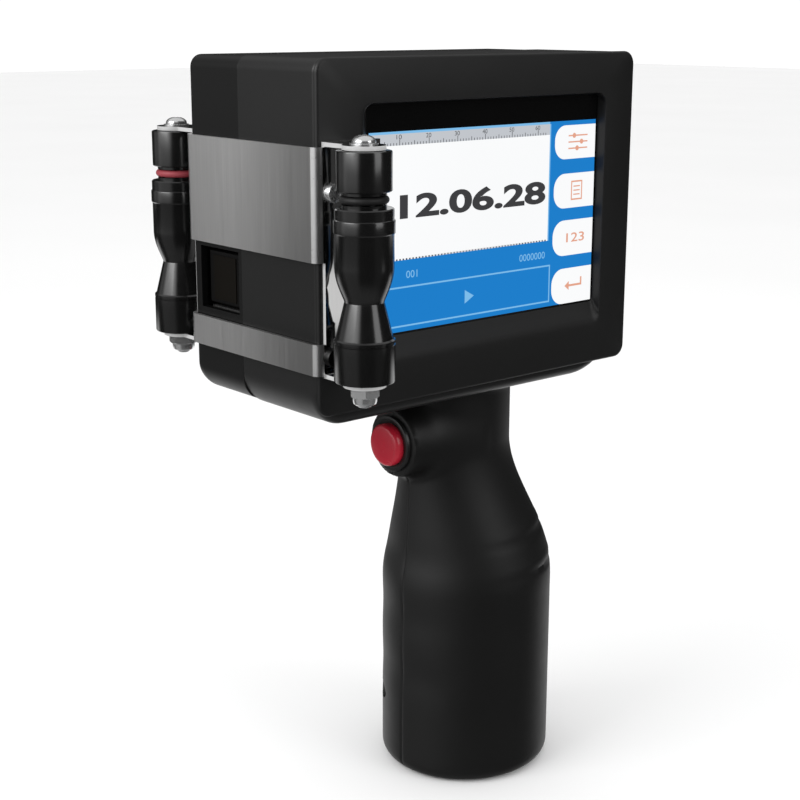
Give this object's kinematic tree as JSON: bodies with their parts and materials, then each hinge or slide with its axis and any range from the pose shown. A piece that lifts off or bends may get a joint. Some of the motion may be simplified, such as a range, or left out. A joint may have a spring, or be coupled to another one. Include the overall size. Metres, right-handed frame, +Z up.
{
  "type": "handheld date code inkjet printer",
  "caption": "Pistol-grip inkjet coder with a touch screen head, steel guide plate, vertical guide rollers, red trigger and side cartridge door.",
  "frame": {"origin": "centre of the flat base of the grip", "axes": "+Z up, -Y out of the screen, -X out of the print face, +Y on the cartridge side"},
  "size_m": [0.1337, 0.1092, 0.2427],
  "materials": {
    "shell": "satin moulded black",
    "bezel": "satin moulded black",
    "grip": "soft satin black",
    "glass": "glossy touch panel over a lit display",
    "display": "display module",
    "plate": "brushed stainless sheet",
    "fastener": "bright zinc and stainless",
    "dark_screw": "black oxide",
    "roller": "black anodised, glossy",
    "ring_red": "red rubber",
    "ring_black": "black rubber",
    "bronze": "sintered bronze",
    "magnet": "ferrite",
    "board": "green solder mask",
    "parts": "black electronic parts",
    "flex": "amber polyimide",
    "gold": "gold plated",
    "inner": "moulded dark grey",
    "steel": "plain steel",
    "cell": "shrink sleeve",
    "button": "red cap",
    "wire": "wire insulation"
  },
  "bodies": {
    "housing": {"main_shell": "shell", "cartridge_shell": "shell", "screen_bezel": "bezel", "touch_glass": "glass", "lcd_panel": "display", "lcd_bracket": "steel", "lcd_ribbon": "flex", "main_board": "board", "board_components": "parts", "buzzer": "parts", "board_standoffs": "bronze", "board_screws": "fastener", "case_screws": "dark_screw", "guide_plate": "plate", "plate_screws": "fastener", "axle_bolts": "fastener", "axle_washers": "fastener", "axle_nuts": "fastener", "encoder_sensor": "board", "cartridge_carriage": "inner", "carriage_screws": "fastener", "ink_cartridge": "inner", "nozzle_plate": "gold", "contact_board": "board", "contact_pins": "gold", "contact_flex": "flex", "clamp_pin": "steel", "hinge_pins": "steel", "catch_plate": "steel", "grip_left": "grip", "grip_right": "grip", "grip_screws": "dark_screw", "neck_screws": "fastener", "battery_cells": "cell", "battery_holder": "inner", "battery_contacts": "steel", "battery_lead": "wire", "trigger_spring": "steel", "trigger_switch": "parts", "trigger_collar": "parts", "trigger_nut": "dark_screw", "trigger_lead": "wire", "switch_frame": "parts", "dc_jack": "parts", "usb_port": "steel"},
    "encoder_roller_body": {"encoder_roller": "roller", "encoder_ring": "ring_red", "encoder_bushes": "bronze", "encoder_magnet": "magnet"},
    "guide_roller_body": {"guide_roller": "roller", "guide_ring": "ring_black", "guide_bushes": "bronze"},
    "trigger_body": {"trigger_button": "button"},
    "rocker_body": {"power_rocker": "button"},
    "door_body": {"cartridge_door": "shell", "door_magnet": "steel"},
    "clamp_body": {"cartridge_clamp": "inner"}
  },
  "joints": [
    {"name": "encoder_roller_spin", "type": "hinge", "parent": "housing", "child": "encoder_roller_body", "pos_m": [-0.0828, 0.0461, 0.186], "axis": [0, 0, 1], "continuous": true},
    {"name": "guide_roller_spin", "type": "hinge", "parent": "housing", "child": "guide_roller_body", "pos_m": [-0.0828, -0.0461, 0.186], "axis": [0, 0, 1], "continuous": true},
    {"name": "trigger_press", "type": "slide", "parent": "housing", "child": "trigger_body", "axis": [1, 0, 0], "range_m": [0, 0.0018], "stiffness_N_per_m": 600, "springref_m": -0.0015, "deforming": ["trigger_spring"]},
    {"name": "power_switch_rock", "type": "hinge", "parent": "housing", "child": "rocker_body", "pos_m": [0.0374, -0.005, 0.217], "axis": [0, 1, 0], "range_deg": [0, 16]},
    {"name": "cartridge_door_hinge", "type": "hinge", "parent": "housing", "child": "door_body", "pos_m": [0.0335, 0.0316, 0.191], "axis": [0, 0, -1], "range_deg": [0, 110]},
    {"name": "cartridge_clamp_hinge", "type": "hinge", "parent": "housing", "child": "clamp_body", "pos_m": [-0.004, 0.016, 0.166], "axis": [0, 1, 0], "range_deg": [0, 35]}
  ]
}
